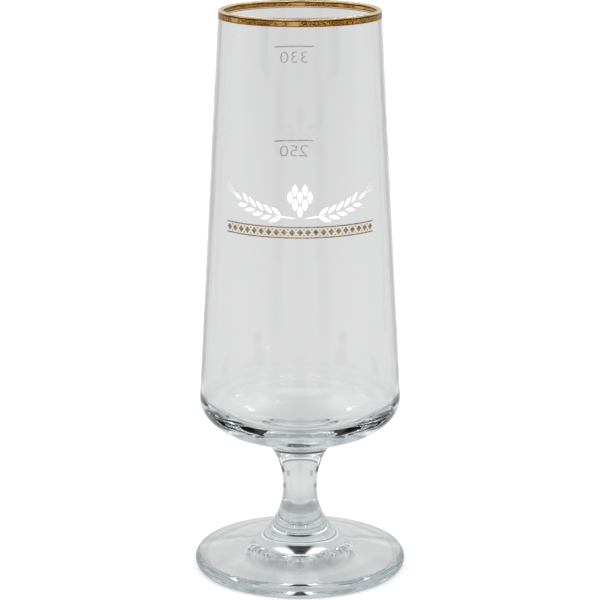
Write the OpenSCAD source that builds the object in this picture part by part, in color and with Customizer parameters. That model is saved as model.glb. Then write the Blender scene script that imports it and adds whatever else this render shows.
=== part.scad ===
// Stemmed beer glass: a tapered bowl on a waisted stem and a round foot.
// The rim is gilded, the front carries a fired ornament and the back two fill marks.
// Sizes are in millimetres. The origin is on the table at the middle of the foot,
// +Z runs up the axis and the ornament faces -Y.

/* [Bowl] */
// Height from the table to the top of the gilded rim
glass_h = 192; // [175:1:215]
// Outside width of the bowl at the rim
rim_d = 53.4; // [48:0.1:60]
// Outside width of the bowl at the shoulder, where it is widest
bowl_d = 68.1; // [63:0.1:76]
// Height of the widest point above the table
shoulder_z = 60.3; // [57:0.1:70]
// Radius of the bend where the wall turns into the shoulder
shoulder_round = 9.5; // [8:0.1:12]
// Angle below level at which the shoulder bend hands over to the wider base bend
shoulder_turn = 38; // [30:1:46]
// Radius of the base bend, under the shoulder
base_round = 17; // [14:0.1:21]
// Slope of the bowl's underside between the base bend and the stem
base_slope = 21.5; // [17:0.5:26]
// Thickness of the wall
wall_t = 1.5; // [1.2:0.1:2.2]
// Height of the glass floor above the corner that the fillet fills
floor_t = 5.7; // [4:0.1:8]
// Radius of the hollow floor
floor_round = 68; // [55:1:90]
// Radius of the bend between floor and wall, inside
inner_round = 8; // [6:0.1:10]

/* [Stem] */
// Width of the stem where its flare would meet the bowl's underside without the fillet
stem_top_d = 21.2; // [18:0.1:24]
// Radius of the fillet between stem and bowl
joint_round = 8; // [5:0.1:9]
// Width of the waist
waist_d = 11.5; // [9:0.1:14]
// Height of the waist above the table
waist_z = 28; // [25:0.5:32]
// Width of the seam between stem and foot
seam_d = 17.2; // [15:0.1:20]
// Height of the seam between stem and foot
seam_z = 17; // [15:0.1:19]

/* [Foot] */
// Width of the foot
foot_d = 72.3; // [66:0.1:80]
// Height of the foot's rounded edge
edge_h = 5.2; // [4:0.1:6.5]
// How far the rounded edge stands out past its corners
edge_bulge = 1.5; // [0.8:0.1:2.2]
// Radius that softens the edge's upper and lower corner
edge_round = 0.8; // [0.4:0.1:1.2]
// Slope of the foot's upper side
foot_slope = 12; // [8:0.5:14]
// Width of the ring that the glass stands on, from corner to corner
rest_w = 3; // [2:0.1:5]
// Radius that softens the ring's inner corner
rest_round = 6; // [3:0.5:8]
// Depth of the hollow under the foot
dish_depth = 3; // [1.5:0.1:4]

/* [Gilded rim] */
// Height of the gold band down the outside
band_h = 2.8; // [1.5:0.1:5]
// Height of the gold edge down the inside
band_inside_h = 2.3; // [0.9:0.1:3]
// Thickness of the gold
gold_t = 0.1; // [0.06:0.01:0.2]

/* [Fill marks] */
// Drop of the upper fill line from the top of the rim
upper_mark_drop = 16; // [8:0.5:26]
// Drop of the lower fill line from the upper one
mark_gap = 32.7; // [24:0.1:40]
// Length of a fill line along the wall
mark_w = 14; // [8:0.5:20]
// Height of a fill line's stroke
mark_h = 0.5; // [0.3:0.05:1]
// How far the marks are turned from the middle of the back
mark_turn = 4.3; // [0:0.1:10]
// Thickness of the fired enamel
enamel_t = 0.1; // [0.06:0.01:0.2]

/* [White ornament] */
// Height of the foot of the two barley ears
ear_z = 128.6; // [126:0.1:134]
// Distance along the wall from the middle to the start of an ear
ear_start = 5; // [4:0.1:8]
// Length of an ear along its axis
ear_l = 18; // [14:0.5:22]
// Slope of an ear's axis at its start
ear_rise = 6; // [0:1:12]
// Slope of an ear's axis at its tip
tip_rise = 30; // [20:1:40]
// Pairs of grains on an ear
grain_pairs = 5; // [3:1:6]
// Length of a grain
grain_l = 4.4; // [3:0.1:5]
// Width of a grain
grain_w = 1.5; // [1:0.05:1.8]
// Distance of a grain's middle from the ear's axis
grain_offset = 1.4; // [1.2:0.05:1.8]
// Angle between a grain and the ear's axis
grain_splay = 30; // [20:1:36]
// Length of a stalk
stalk_l = 8; // [5:0.5:10]
// Width of a stalk at its middle
stalk_w = 0.7; // [0.4:0.05:1]
// Height of the hop cone's lowest scale
cone_z = 130.4; // [129:0.1:134]
// Length of a scale of the hop cone
scale_l = 4.2; // [3:0.1:4.6]
// Width of a scale of the hop cone
scale_w = 2; // [1.4:0.1:2.3]
// Rise from one row of scales to the next
scale_rise = 2.3; // [2:0.1:2.8]
// Distance between neighbouring scales of a row
scale_gap = 3.2; // [2.8:0.1:3.6]

/* [Gold ornament] */
// Height of the middle of the gold border
border_z = 123.6; // [121:0.1:124.5]
// Length of the gold border along the wall
border_w = 54; // [40:1:60]
// Height of the gold border, from rule to rule
border_h = 3.8; // [3:0.1:4.5]
// Stroke of the two gold rules
rule_h = 0.4; // [0.25:0.05:0.6]
// Lozenges in the border
lozenge_count = 21; // [9:2:23]
// Width of a lozenge
lozenge_w = 2; // [1:0.1:2.2]
// Height of a lozenge
lozenge_h = 2.2; // [1.2:0.1:2.6]

/* [Hidden] */
$fn = 96;
// Straight steps in each bend of an outline
bend_steps = 12;
// Rows of scales on the hop cone, from its tip up
scale_rows = [1, 2, 3, 2];
// Reach of the enamel's cutter on each side of the wall
cutter_reach = 0.6;
level_up = 90;
half_turn = 180;

// Outline of the bowl
lip_r = wall_t / 2;
lip_c = [rim_d / 2 - lip_r, glass_h - gold_t - lip_r];
shoulder_c = [bowl_d / 2 - shoulder_round, shoulder_z];
to_lip = lip_c - shoulder_c;
// The wall touches the lip's circle and the shoulder's circle, which sets how far it leans
lean = atan2(to_lip.y, to_lip.x) - acos((shoulder_round - lip_r) / norm(to_lip));
wall_out = [cos(lean), sin(lean)];
wall_down = [sin(lean), -cos(lean)];
base_c = shoulder_c - (base_round - shoulder_round) * [cos(shoulder_turn), -sin(shoulder_turn)];
base_out = [sin(base_slope), -cos(base_slope)];
base_along = [cos(base_slope), sin(base_slope)];
base_end = base_c + base_round * base_out;
corner_z = base_end.y - (base_end.x - stem_top_d / 2) * tan(base_slope);
floor_c = [0, corner_z + floor_t + floor_round];
// The inner bend touches the wall's inner face and the hollow floor
inner_from = lip_c - (lip_r + inner_round) * wall_out;
inner_c = touching(inner_from, wall_down, floor_c, floor_round - inner_round, 1);
inner_turn = turn_of(inner_c - floor_c);

// Outline of the stem: its fillet touches the upper flare and the bowl's underside
waist = [waist_d / 2, waist_z];
seam = [seam_d / 2, seam_z];
upper_flare_r = flare_radius([stem_top_d / 2, corner_z]);
lower_flare_r = flare_radius(seam);
upper_flare_c = waist + [upper_flare_r, 0];
lower_flare_c = waist + [lower_flare_r, 0];
lower_turn = asin((waist_z - seam_z) / lower_flare_r);
joint_c = touching(base_end + joint_round * base_out, base_along, upper_flare_c, upper_flare_r - joint_round, -1);
joint_turn = turn_of(joint_c - upper_flare_c);
stem_top = joint_c - joint_round * base_out;

// Outline of the foot: its fillet leaves the seam in line with the stem and meets the upper side
edge_corner_r = foot_d / 2 - edge_bulge;
edge_r = (edge_h * edge_h / 4 + edge_bulge * edge_bulge) / (2 * edge_bulge);
edge_c = [foot_d / 2 - edge_r, edge_h / 2];
seam_out = [cos(lower_turn), sin(lower_turn)];
foot_up = [sin(foot_slope), cos(foot_slope)];
foot_in = [-cos(foot_slope), sin(foot_slope)];
edge_top = [edge_corner_r, edge_h];
seam_over_foot = (seam - edge_top) * foot_up;
fillet_r = seam_over_foot / (1 - seam_out * foot_up);
fillet_c = seam + fillet_r * seam_out;
// The edge's corners are softened by circles that lie inside its own
brow_c = touching(edge_top - edge_round * foot_up, foot_in, edge_c, edge_r - edge_round, -1);
heel_c = touching([edge_corner_r, edge_round], [1, 0], edge_c, edge_r - edge_round, 1);
brow_turn = turn_of(brow_c - edge_c);
heel_turn = turn_of(heel_c - edge_c);
// The hollow and the circle that rolls its rim over to the ring
rest_in_r = edge_corner_r - rest_w;
dish_r = (rest_in_r * rest_in_r + dish_depth * dish_depth) / (2 * dish_depth);
dish_c = [0, dish_depth - dish_r];
rest_c = touching([rest_in_r, rest_round], [1, 0], dish_c, dish_r + rest_round, 1);
rest_turn = turn_of(rest_c - dish_c);

// Fill marks
upper_mark_z = glass_h - upper_mark_drop;
lower_mark_z = upper_mark_z - mark_gap;

// Course of an ear: an arc whose slope grows from ear_rise to tip_rise
ear_bend_r = ear_l / ((tip_rise - ear_rise) * PI / half_turn);

// Centre of a circle that touches a straight line and another circle. It lies on the line from start
// along dir and at reach from c. Of the two such places, side picks the one further along dir, or back
function touching(start, dir, c, reach, side) =
    let (gap = start - c, half = gap * dir, root = sqrt(half * half - gap * gap + reach * reach))
    start + (side * root - half) * dir;
// Angle of a vector in the outline's plane
function turn_of(v) = atan2(v.y, v.x);
// Radius of the arc that leaves the waist upright and ends at the given point
function flare_radius(end) =
    let (w = end.x - waist.x, h = end.y - waist.y) (w * w + h * h) / (2 * w);
// Points of an arc, without its first point when it carries on from another arc
function bend(c, r, from, to, first = 0) =
    [for (i = [first:bend_steps]) let (a = from + (to - from) * i / bend_steps) c + r * [cos(a), sin(a)]];
// Radius at height z of a surface that lies t outside the wall
function wall_r(z, t = 0) = ((lip_c * wall_out + lip_r + t) - z * wall_out.y) / wall_out.x;
// Angle round the axis that a length along the wall takes up at height z
function wall_angle(s, z) = s / wall_r(z) * half_turn / PI;
function ear_slope(t) = ear_rise + (tip_rise - ear_rise) * t;
function ear_point(t) =
    [ear_start + ear_bend_r * (sin(ear_slope(t)) - sin(ear_rise)),
     ear_z + ear_bend_r * (cos(ear_rise) - cos(ear_slope(t)))];

// Glass bodies
module bowl() {
    color([0.84, 0.88, 0.89, 0.5])
        rotate_extrude()
            polygon(concat(
                [[0, stem_top.y], stem_top],
                bend(base_c, base_round, base_slope - level_up, -shoulder_turn),
                bend(shoulder_c, shoulder_round, -shoulder_turn, lean, 1),
                bend(lip_c, lip_r, lean, lean + half_turn),
                bend(inner_c, inner_round, lean, inner_turn),
                bend(floor_c, floor_round, inner_turn, -level_up, 1)));
}

module stem() {
    color([0.8, 0.85, 0.86, 0.6])
        rotate_extrude()
            polygon(concat(
                [[0, seam_z]],
                bend(lower_flare_c, lower_flare_r, half_turn + lower_turn, half_turn),
                bend(upper_flare_c, upper_flare_r, half_turn, joint_turn, 1),
                bend(joint_c, joint_round, joint_turn, level_up + base_slope, 1),
                [[0, stem_top.y]]));
}

module foot() {
    color([0.82, 0.87, 0.88, 0.5])
        rotate_extrude()
            polygon(concat(
                [[0, seam_z]],
                bend(fillet_c, fillet_r, half_turn + lower_turn, half_turn + level_up - foot_slope),
                bend(brow_c, edge_round, level_up - foot_slope, brow_turn),
                bend(edge_c, edge_r, brow_turn, heel_turn, 1),
                bend(heel_c, edge_round, heel_turn, -level_up, 1),
                bend(rest_c, rest_round, -level_up, rest_turn - half_turn),
                bend(dish_c, dish_r, rest_turn, level_up, 1)));
}

// Gold over the lip, down the outside and a little way down the inside
module rim_gilding() {
    outside_end = lip_c + lip_r * wall_out + (band_h - lip_r) * wall_down;
    inside_end = lip_c - lip_r * wall_out + (band_inside_h - lip_r) * wall_down;
    color("goldenrod")
        rotate_extrude()
            polygon(concat(
                [outside_end, outside_end + gold_t * wall_out],
                bend(lip_c, lip_r + gold_t, lean, lean + half_turn),
                [inside_end - gold_t * wall_out, inside_end],
                bend(lip_c, lip_r, lean + half_turn, lean)));
}

// A strip of enamel or gold that lies on the outside of the wall, centred on the angle mid
module wall_strip(z, h, w, mid, t) {
    low = z - h / 2;
    high = z + h / 2;
    turn = wall_angle(w, z);
    rotate([0, 0, mid - turn / 2])
        rotate_extrude(angle = turn)
            polygon([[wall_r(low), low], [wall_r(low, t), low], [wall_r(high, t), high], [wall_r(high), high]]);
}

module upper_fill_line() {
    color("silver") wall_strip(upper_mark_z, mark_h, mark_w, level_up + mark_turn, enamel_t);
}

module lower_fill_line() {
    color("silver") wall_strip(lower_mark_z, mark_h, mark_w, level_up + mark_turn, enamel_t);
}

// Stands a flat shape on the wall at s along it from the middle of the front and at height z
module on_wall(s, z) {
    rotate([0, 0, wall_angle(s, z)])
        translate([0, cutter_reach - wall_r(z), z])
            rotate([level_up, 0, 0])
                linear_extrude(2 * cutter_reach)
                    children();
}

// A pointed oval, as two arcs
module leaf(l, w) {
    r = (l * l + w * w) / (4 * w);
    intersection() {
        translate([0, r - w / 2]) circle(r);
        translate([0, w / 2 - r]) circle(r);
    }
}

// The shell that printed shapes are cut from
module print_shell(low, high, t) {
    rotate_extrude()
        polygon([[wall_r(low), low], [wall_r(low, t), low], [wall_r(high, t), high], [wall_r(high), high]]);
}

module ear(side) {
    for (i = [1:grain_pairs], edge = [-1, 1]) {
        t = i / (grain_pairs + 1);
        slope = ear_slope(t);
        p = ear_point(t) + edge * grain_offset * [-sin(slope), cos(slope)];
        on_wall(side * p.x, p.y) rotate(side * (slope + edge * grain_splay)) leaf(grain_l, grain_w);
    }
    tip = ear_point(1);
    on_wall(side * tip.x, tip.y) rotate(side * tip_rise) leaf(grain_l, grain_w);
    on_wall(side * ear_start, ear_z) rotate(side * ear_rise) leaf(stalk_l, stalk_w);
}

module hop_cone() {
    for (row = [0:len(scale_rows) - 1], col = [0:scale_rows[row] - 1]) {
        place = (col - (scale_rows[row] - 1) / 2) * scale_gap;
        on_wall(place, cone_z + row * scale_rise) rotate(level_up) leaf(scale_l, scale_w);
    }
}

module white_ornament() {
    low = ear_z - grain_l;
    high = ear_z + ear_l;
    color("white")
        intersection() {
            union() {
                ear(-1);
                ear(1);
                hop_cone();
            }
            print_shell(low, high, enamel_t);
        }
}

module gold_ornament() {
    pitch = border_w / lozenge_count;
    color("darkgoldenrod") {
        wall_strip(border_z + (border_h - rule_h) / 2, rule_h, border_w, -level_up, gold_t);
        wall_strip(border_z - (border_h - rule_h) / 2, rule_h, border_w, -level_up, gold_t);
        intersection() {
            for (i = [0:lozenge_count - 1])
                on_wall((i - (lozenge_count - 1) / 2) * pitch, border_z)
                    polygon([[lozenge_w / 2, 0], [0, lozenge_h / 2], [-lozenge_w / 2, 0], [0, -lozenge_h / 2]]);
            print_shell(border_z - border_h, border_z + border_h, gold_t);
        }
    }
}

bowl();
stem();
foot();
rim_gilding();
upper_fill_line();
lower_fill_line();
white_ornament();
gold_ornament();
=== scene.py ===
"""Looks of a stemmed beer glass: clear glass, a gilded rim, fired prints and a plain studio."""

import math

import bmesh
import bpy
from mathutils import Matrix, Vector


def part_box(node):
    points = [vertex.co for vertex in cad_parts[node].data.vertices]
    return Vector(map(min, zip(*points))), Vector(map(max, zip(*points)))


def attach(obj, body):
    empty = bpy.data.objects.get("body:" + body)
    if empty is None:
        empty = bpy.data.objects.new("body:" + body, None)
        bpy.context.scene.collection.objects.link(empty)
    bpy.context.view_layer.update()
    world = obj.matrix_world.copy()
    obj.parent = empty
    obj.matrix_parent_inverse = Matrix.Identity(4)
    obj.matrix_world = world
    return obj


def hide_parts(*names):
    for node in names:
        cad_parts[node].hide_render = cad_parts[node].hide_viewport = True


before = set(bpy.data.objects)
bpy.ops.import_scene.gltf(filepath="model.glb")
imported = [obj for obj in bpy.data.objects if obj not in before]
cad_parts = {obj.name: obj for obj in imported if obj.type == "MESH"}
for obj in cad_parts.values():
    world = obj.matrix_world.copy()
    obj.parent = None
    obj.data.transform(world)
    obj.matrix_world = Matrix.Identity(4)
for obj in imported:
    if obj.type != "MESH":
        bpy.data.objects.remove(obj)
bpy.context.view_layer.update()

bl_info = {
    "name": "Stemmed Beer Glass",
    "version": (1, 0, 0),
    "blender": (4, 5, 0),
    "location": "View3D > Sidebar > Beer Glass",
    "description": "Dresses a stemmed beer glass with its gilded rim, prints and studio",
    "category": "Add Mesh",
}

MM = 0.001
DEGREE = math.pi / 180
BODY = "root"
MERGE_DISTANCE = 0.002 * MM
# Light turns many times inside a thick base before it leaves
LIGHT_TURNS = 48
FRONT = -math.pi / 2
BACK = math.pi / 2
SIDES = (-1.0, 1.0)
# Turn between neighbouring points of an arc: in a usual bend, in long flares and in nearly flat
# floors, which need more, and round the lip, the gold over it and the gold's ends, which need less
BEND_STEP, FLARE_STEP, FLAT_STEP, LIP_STEP, GOLD_STEP, END_STEP = (
    math.radians(degrees) for degrees in (2.5, 1.5, 0.5, 12, 10, 30)
)
# Rows along the straight stretches of the outlines, how far the first and the last row lie from a
# stretch's ends, and the most that this distance takes of the stretch
ROWS = {"rest": 4, "foot": 8, "wall": 24, "gold": 6, "gold inside": 3}
CLOSE_ROW, CLOSE_SHARE = 0.4 * MM, 0.25
# Points along each flat shape of the prints
STEPS = {
    "fill line": 29, "rule": 97, "lozenge": 7, "dot": 5,
    "stalk": 17, "awn": 13, "grain": 9, "scale": 9,
}
# Scales in each row of the hop cone, from its tip up
CONE_ROWS = (1, 2, 3, 2)
# How much the strokes of the numbers are thinned, and how finely their curves and faces are cut
FIGURE_THINNING = -0.016
FIGURE_CURVE_STEPS = 4
FIGURE_CUTS = 2
WHITE = (1, 1, 1, 1)
GLASS_TINT = (0.8, 0.85, 0.87, 1)
GLASS_TINT_DENSITY = 20.0
# The glass's faint ripples, which are longer up and down than round it
RIPPLE_STRETCH = (1.0, 1.0, 0.35)
RIPPLE_DEPTH = 0.012 * MM
# Heights between which the glass is worn from standing, and the roughness there: what the scuffs
# add and what it has without them
WEAR_HEIGHTS = (0.25 * MM, 0.02 * MM)
WEAR_ROUGHNESS = (0.25, 0.1)
# Noise of the fired grain and of its patches: detail, and where the mask starts and ends
FIRED_NOISE = ((2.0, 0.38, 0.62), (1.0, 0.52, 0.66))
# The rim's lines, both painted: a dark one that stands in for a dark reflection and a bright one
# that stands in for a highlight. Where they end, in millimetres from the lip and from the gold's
# lower edge, the softness of both and their colours
PAINTED_RIM_LINES = ((1.2, 0.72), (0.45, 0.2))
PAINTED_RIM_LINE_SOFTNESS = (0.2, 0.15)
PAINTED_RIM_LINE_COLOURS = ((0.15, 0.05, 0.004, 1), (1.0, 0.78, 0.46, 1))
LIP_SOFTNESS = 0.05 * MM
# How much rougher gold is in the dark gaps of its grain, and enamel on its grain
GOLD_GAP_ROUGHNESS = 0.12
ENAMEL_GRAIN_ROUGHNESS = 0.1
# What stands out of the pale room in glass and metal: turn from the nearer end of the Y axis and
# height above level, from and to in degrees, and its brightness. All four quarters are alike
ROOM_PARTS = {
    "pale sides": (3.5, 34, -3, 10, 0.73),
    "shelf": (-9, 99, 11, 14, 0.36),
    "shelf light": (-9, 99, 15, 17.5, 0.98),
    "ceiling": (-9, 99, 66, 78, 0.05),
    "light rail": (-9, 99, 57, 65, 1.3),
    "opening": (-9, 9, 24, 56, 0.03),
    "window": (11, 28, 32, 52, 1.3),
    "lamp": (26, 29, 42, 45, 16.0),
    "high pillar": (56, 72, 30, 46, 0.08),
    "high lamp": (64, 66, 48, 50, 16.0),
    "side opening": (80, 99, 33, 44, 0.1),
    "side light": (80, 99, 18, 30, 1.0),
    "side wall": (57, 80, 1, 20, 0.08),
    "strip light": (46, 51, 10, 26, 1.4),
    "low card": (45, 57, -3, 9, 0.02),
}
# The same on the floor: turn in degrees, distance from the glass's axis in millimetres, brightness
FLOOR_PARTS = {
    "pale sides": (3.5, 34, 60, 4500, 0.74),
    # Painted shadow: the floor right under the stem is darker in glass and metal
    "painted shadow under the stem": (-9, 99, -9, 15, 0.42),
    "wall sides": (22, 34, 260, 4500, 0.5),
    "side card": (50, 84, 62, 100, 0.1),
    "farther card": (56, 68, 92, 122, 0.15),
}
# Softness of a part's edges, in degrees, and on the floor also in millimetres, and the most that an
# edge takes of its part
ROOM_SOFTNESS = 3
FLOOR_SOFTNESS = 8
EDGE_SHARE = 0.25
# Distances, in metres, over which the floor grows paler beside the glass and plain again far away:
# a painted pool of light, seen in glass and metal
PAINTED_POOL_STARTS = (0.03, 0.07)
PAINTED_POOL_ENDS = (1.2, 0.25)
SENSOR_WIDTH = 36
CAMERA_CLIP = (0.01, 100)
FLOOR_CORNERS = 96


def node_size(node, axis):
    """Extent of a CAD node along an axis, in millimetres."""
    low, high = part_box(node)
    return (high[axis] - low[axis]) / MM


def node_top(node):
    """Height of a CAD node's highest point, in millimetres."""
    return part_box(node)[1][2] / MM


def length(name, text, value):
    """A length property whose default is given in millimetres."""
    return bpy.props.FloatProperty(
        name=name, description=text, default=value * MM, min=0.0, precision=5, unit="LENGTH"
    )


def angle(name, text, degrees):
    """An angle property whose default is given in degrees."""
    return bpy.props.FloatProperty(
        name=name, description=text, default=math.radians(degrees), unit="ROTATION"
    )


def colour(name, text, value):
    """A colour property in linear RGB."""
    return bpy.props.FloatVectorProperty(
        name=name, description=text, default=value, size=3, min=0.0, max=1.0, subtype="COLOR"
    )


def share(name, text, value, top=1.0):
    """A plain factor."""
    return bpy.props.FloatProperty(name=name, description=text, default=value, min=0.0, max=top)


def amount(name, text, value, low, high):
    """A whole number between two limits."""
    return bpy.props.IntProperty(name=name, description=text, default=value, min=low, max=high)


def text_line(name, text, value):
    """A line of text."""
    return bpy.props.StringProperty(name=name, description=text, default=value)


class GlassSizes(bpy.types.PropertyGroup):
    """Sizes of the glass body's outline"""

    height: length("Height", "From the table to the top of the gilded rim", node_top("rim_gilding"))
    rim_width: length("Rim Width", "Outside width at the rim", 53.4)
    bowl_width: length("Bowl Width", "Outside width at the shoulder", node_size("bowl", 0))
    shoulder_height: length("Shoulder Height", "Height of the widest point", 60.3)
    shoulder_round: length("Shoulder Round", "Radius of the shoulder bend", 9.5)
    shoulder_turn: angle("Shoulder Turn", "Where the base bend takes over, below level", 38)
    base_round: length("Base Round", "Radius of the base bend", 17)
    base_slope: angle("Base Slope", "Slope of the bowl's underside", 21.5)
    wall: length("Wall", "Thickness of the wall", 1.5)
    floor: length("Floor", "Glass over the stem's corner with the bowl", 5.7)
    floor_round: length("Floor Round", "Radius of the hollow's floor", 68)
    inner_round: length("Inner Round", "Radius between floor and wall, inside", 8)
    stem_top_width: length("Stem Top Width", "Width where the stem meets the bowl", 21.2)
    joint_round: length("Joint Round", "Fillet between stem and bowl", 8)
    waist_width: length("Waist Width", "Narrowest width of the stem", 11.5)
    waist_height: length("Waist Height", "Height of the narrowest point", 28)
    seam_width: length("Seam Width", "Width of the seam of stem and foot", 17.2)
    seam_height: length("Seam Height", "Height of the seam of stem and foot", node_top("foot"))
    foot_width: length("Foot Width", "Width of the foot", node_size("foot", 0))
    edge_height: length("Edge Height", "Height of the foot's rounded edge", 5.2)
    edge_bulge: length("Edge Bulge", "How far the edge stands out past its corners", 1.5)
    edge_round: length("Edge Round", "Softening of the edge's two corners", 0.8)
    foot_slope: angle("Foot Slope", "Slope of the foot's upper side", 12)
    rest_width: length("Rest Width", "Width of the flat ring that it stands on", 3)
    rest_round: length("Rest Round", "Softening of the ring's inner corner", 6)
    dish_depth: length("Dish Depth", "Depth of the hollow under the foot", 3)
    segments: amount("Segments", "Steps round the glass", 240, 24, 480)


class GildingSizes(bpy.types.PropertyGroup):
    """Sizes of the gold on the rim"""

    band: length("Band", "Height of the gold down the outside", 2.8)
    band_inside: length("Band Inside", "Height of the gold down the inside", 2.3)
    thickness: length("Thickness", "Thickness of the gold", 0.1)
    bond: length("Bond", "How deep the gold is fused into the glass", 0.02)


class MarkSizes(bpy.types.PropertyGroup):
    """Sizes of the fill marks and of the plain numbers under them"""

    line_width: length("Line Width", "Length of a fill line along the wall", 14)
    line_stroke: length(
        "Line Stroke", "Height of a fill line's stroke", node_size("upper_fill_line", 2)
    )
    turn: angle("Turn", "How far the marks are turned from the middle of the back", 4.3)
    number_height: length("Number Height", "Height of the numbers", 3.9)
    number_drop: length("Number Drop", "Gap between a fill line and its number", 1.5)
    number_wide: share("Number Wide", "Stretch of the numbers along the wall", 1.22, 2.0)
    upper_number: text_line("Upper Number", "Number under the upper line", "330")
    lower_number: text_line("Lower Number", "Number under the lower line", "250")
    thickness: length("Thickness", "Thickness of the enamel", 0.1)
    bond: length("Bond", "How deep the enamel is fused into the glass", 0.03)


class OrnamentSizes(bpy.types.PropertyGroup):
    """Sizes of the two barley ears and the hop cone in white enamel"""

    ear_height: length("Ear Height", "Height at which the ears start", 128.6)
    ear_start: length("Ear Start", "Distance of an ear's start from the middle", 5)
    ear_length: length("Ear Length", "Length of an ear", 18)
    ear_rise: angle("Ear Rise", "Slope of an ear at its start", 6)
    tip_rise: angle("Tip Rise", "Slope of an ear at its tip", 30)
    grain_pairs: amount("Grain Pairs", "Pairs of grains on an ear", 5, 1, 12)
    grain_length: length("Grain Length", "Length of a grain", 4.4)
    grain_width: length("Grain Width", "Width of a grain", 1.5)
    grain_offset: length("Grain Offset", "Distance of a grain from the ear's axis", 1.4)
    grain_splay: angle("Grain Splay", "Angle between a grain and the ear's axis", 30)
    awn_length: length("Awn Length", "Length of a bristle at the ear's tip", 5.4)
    awn_spread: angle("Awn Spread", "Angle between neighbouring bristles", 13)
    awn_width: length("Awn Width", "Width of a bristle at its middle", 0.3)
    awn_reach: length("Awn Reach", "From the tip grain's middle to a bristle's middle", 3.7)
    stalk_length: length("Stalk Length", "Length of a stalk", 8)
    stalk_width: length("Stalk Width", "Width of a stalk at its middle", 0.7)
    cone_height: length("Cone Height", "Height of the hop cone's lowest scale", 130.4)
    scale_length: length("Scale Length", "Length of a scale", 4.2)
    scale_width: length("Scale Width", "Width of a scale", 2)
    scale_rise: length("Scale Rise", "Rise from one row of scales to the next", 2.3)
    scale_gap: length("Scale Gap", "Distance between neighbouring scales", 3.2)
    thickness: length("Thickness", "Thickness of the enamel", 0.1)
    bond: length("Bond", "How deep the enamel is fused into the glass", 0.03)


class BorderSizes(bpy.types.PropertyGroup):
    """Sizes of the gold border under the ears"""

    height: length("Height", "Height of the border's middle", 123.6)
    width: length("Width", "Length of the border along the wall", 54)
    band: length("Band", "From the border's lower edge to its upper", node_size("gold_ornament", 2))
    rule: length("Rule", "Stroke of the two rules", 0.4)
    lozenges: amount("Lozenges", "Lozenges in the border", 21, 2, 60)
    lozenge_width: length("Lozenge Width", "Width of a lozenge", 2)
    lozenge_height: length("Lozenge Height", "Height of a lozenge", 2.2)
    dot: length("Dot", "Width of a dot between two lozenges", 0.5)
    dot_spread: length("Dot Spread", "Distance of a dot from the border's middle", 0.95)
    thickness: length("Thickness", "Thickness of the gold", 0.1)
    bond: length("Bond", "How deep the gold is fused into the glass", 0.03)


class StageSizes(bpy.types.PropertyGroup):
    """Places of the camera, floor and lights"""

    camera_back: length("Camera Back", "Distance of the camera from the axis", 750.67)
    camera_height: length("Camera Height", "Height of the camera", 281)
    camera_pitch: angle("Camera Pitch", "How far the camera looks down", 14.005)
    camera_lens: bpy.props.FloatProperty(
        name="Camera Lens", description="Focal length on a 36 mm sensor", default=137.62, min=1
    )
    floor_width: length("Floor Width", "Width of the floor", 8000)
    floor_gap: length("Floor Gap", "Hair's breadth between floor and foot", 0.05)
    floor_paleness: share("Floor Paleness", "How much light the floor gives back", 0.8)
    floor_glow: share("Floor Glow", "Light added to the floor for the camera alone", 0.4)
    backdrop_grey: share(
        "Backdrop Grey", "Brightness of floor and backdrop in glass and metal", 0.66
    )
    # A painted pool of light: the floor beside the glass is paler in glass and metal
    floor_painted_pool: share("Floor Lift", "How much paler the nearer floor is in the glass", 0.05)
    even_light: share("Even Light", "Brightness of the soft light on matt surfaces", 0.8)
    room_tint: colour("Room Tint", "Tint of what is dark in the room", (0.8, 0.95, 1.0))
    softbox_width: length("Softbox Width", "Width of a soft box", 500)
    softbox_height: length("Softbox Height", "Height of a soft box", 700)
    softbox_distance: length("Softbox Distance", "Distance of a soft box from the glass", 1100)
    softbox_aim: length("Softbox Aim", "Height that a soft box is aimed at", 100)
    softbox_bearing: angle("Softbox Bearing", "Turn of a soft box from the backdrop's side", 134)
    softbox_rise: angle("Softbox Rise", "Height of a soft box above level, as an angle", 20)
    softbox_power: bpy.props.FloatProperty(
        name="Softbox Power", description="Power of a soft box", default=3.0, min=0.0, unit="POWER"
    )


# Arithmetic of the outline


def direction(turn):
    """Unit vector at an angle in the outline's plane, with x as radius and y as height."""
    return Vector((math.cos(turn), math.sin(turn)))


def arc(centre, radius, start, end, step=BEND_STEP):
    """Points of an arc, at most a step of turn apart."""
    count = max(2, math.ceil(abs(end - start) / step))
    turns = [start + (end - start) * i / count for i in range(count + 1)]
    return [centre + radius * direction(turn) for turn in turns]


def straight(start, end, rows):
    """Points of a straight stretch, with close rows near its ends to keep the bends' shine."""
    close = min(CLOSE_SHARE, CLOSE_ROW / (end - start).length)
    inner = [close + (1 - 2 * close) * i / rows for i in range(rows + 1)]
    return [start.lerp(end, t) for t in inner]


def circle_by_line(point, along, out, offset, centre, reach, towards):
    """Centre that lies offset from a line on its out side, and reach from another centre.

    Of the two places, it is the one nearer to the point towards."""
    start = point + offset * out
    gap = start - centre
    half = gap.dot(along)
    root = math.sqrt(half * half - gap.dot(gap) + reach * reach)
    places = [start + along * (-half + side * root) for side in (-1, 1)]
    return min(places, key=lambda place: (place - towards).length)


def turn_of(vector):
    """Angle of a vector in the outline's plane."""
    return math.atan2(vector.y, vector.x)


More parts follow.
